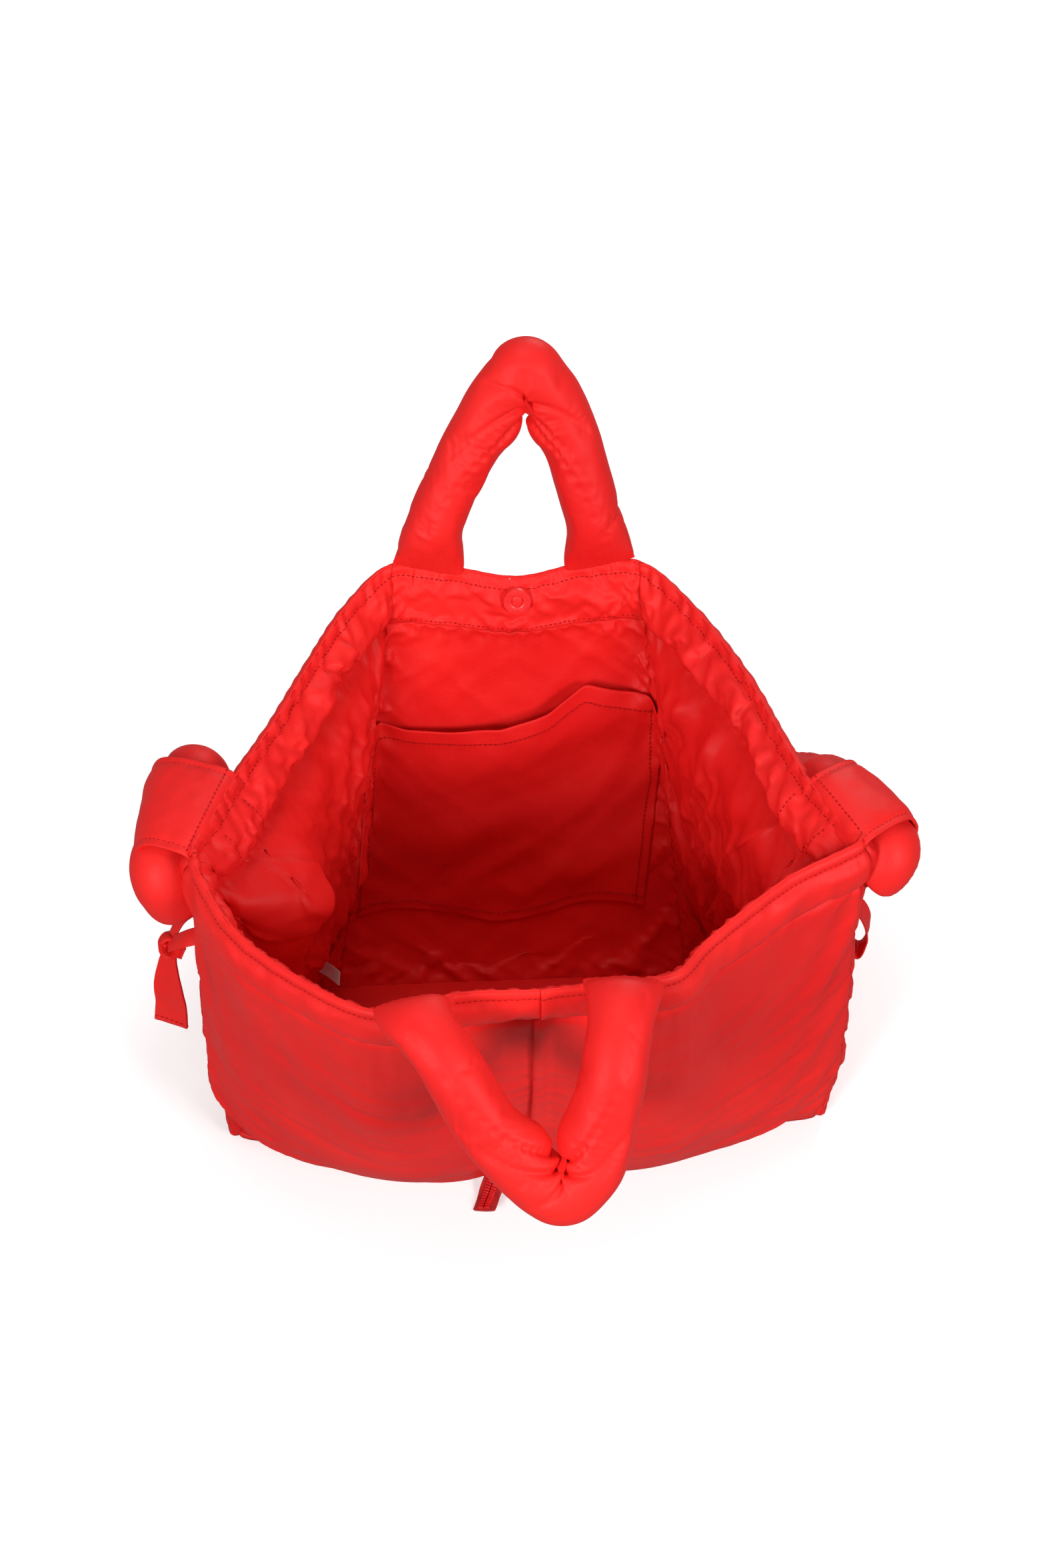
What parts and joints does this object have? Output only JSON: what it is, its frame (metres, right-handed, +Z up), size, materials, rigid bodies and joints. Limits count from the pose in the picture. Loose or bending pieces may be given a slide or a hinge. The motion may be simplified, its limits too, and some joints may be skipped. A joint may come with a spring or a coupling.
{
  "type": "padded tote bag",
  "caption": "Lightly padded nylon tote, open, with stuffed grab handles, side loops, padded shoulder strap, slip pocket, magnetic snap and front seam zip.",
  "frame": {"origin": "on the floor, under the middle of the box round the whole part", "axes": "+Z up, -Y towards the front (the side with the zip and the drooping handle), +X to the right seen from the front"},
  "size_m": [0.4946, 0.5356, 0.462],
  "materials": {
    "padded_nylon": "soft matt nylon with a faint sheen",
    "lining_nylon": "smooth thin nylon",
    "filling": "loose fibre",
    "zip_tape": "woven tape",
    "zip_plastic": "moulded",
    "painted_snap": "satin paint",
    "steel": "bright",
    "blank_label": "woven, blank"
  },
  "bodies": {
    "bag": {"care_label": "blank_label", "facing_back": "padded_nylon", "facing_front": "padded_nylon", "facing_left": "padded_nylon", "facing_right": "padded_nylon", "lining_back": "lining_nylon", "lining_base": "lining_nylon", "lining_front": "lining_nylon", "lining_left": "lining_nylon", "lining_right": "lining_nylon", "outer_back": "padded_nylon", "outer_base": "padded_nylon", "outer_front_left": "padded_nylon", "outer_front_right": "padded_nylon", "outer_gusset_left": "padded_nylon", "outer_gusset_right": "padded_nylon", "side_loop_left": "padded_nylon", "side_loop_right": "padded_nylon", "slip_pocket": "lining_nylon", "snap_disc_back": "painted_snap", "snap_disc_front": "painted_snap", "snap_magnet_back": "steel", "snap_magnet_front": "steel", "snap_washer_back": "steel", "snap_washer_front": "steel", "zip_pocket_bag": "lining_nylon", "zip_stop_bottom": "zip_plastic", "zip_stop_top": "zip_plastic", "zip_tail": "zip_tape", "zip_tape_left": "zip_tape", "zip_tape_right": "zip_tape", "zip_teeth_left": "zip_plastic", "zip_teeth_right": "zip_plastic"},
    "front_handle": {"handle_front_sleeve": "padded_nylon", "handle_front_filling": "filling"},
    "back_handle": {"handle_back_sleeve": "padded_nylon", "handle_back_filling": "filling"},
    "strap": {"shoulder_strap": "padded_nylon"},
    "slider": {"zip_slider": "zip_plastic"},
    "puller": {"zip_puller": "zip_plastic"},
    "left_tie": {"tie_left_front": "padded_nylon", "tie_left_back": "padded_nylon", "tie_left_knot": "padded_nylon", "tie_left_tail": "padded_nylon"},
    "right_tie": {"tie_right_loop": "padded_nylon"}
  },
  "joints": [
    {"name": "front_handle_swing", "type": "hinge", "parent": "bag", "child": "front_handle", "pos_m": [0, -0.1734, 0.3145], "axis": [-1, 0, 0], "range_deg": [0, 130]},
    {"name": "back_handle_swing", "type": "hinge", "parent": "bag", "child": "back_handle", "pos_m": [0, 0.1616, 0.3145], "axis": [1, 0, 0], "range_deg": [-70, 50]},
    {"name": "strap_swing", "type": "hinge", "parent": "bag", "child": "strap", "pos_m": [0, -0.0454, 0.2845], "axis": [1, 0, 0], "range_deg": [0, 75], "deforming": ["side_loop_left", "side_loop_right"]},
    {"name": "zip_slide", "type": "slide", "parent": "bag", "child": "slider", "axis": [0, -0.2644, 0.9644], "range_m": [0, 0.19]},
    {"name": "puller_flip", "type": "hinge", "parent": "slider", "child": "puller", "pos_m": [0, -0.11207, 0.05642], "axis": [-1, 0, 0], "range_deg": [0, 150]},
    {"name": "left_tie_swing", "type": "hinge", "parent": "bag", "child": "left_tie", "pos_m": [-0.202, -0.0414, 0.205], "axis": [0, 1, 0], "range_deg": [0, 90]},
    {"name": "right_tie_swing", "type": "hinge", "parent": "bag", "child": "right_tie", "pos_m": [0.202, -0.0414, 0.205], "axis": [0, -1, 0], "range_deg": [0, 90]}
  ]
}
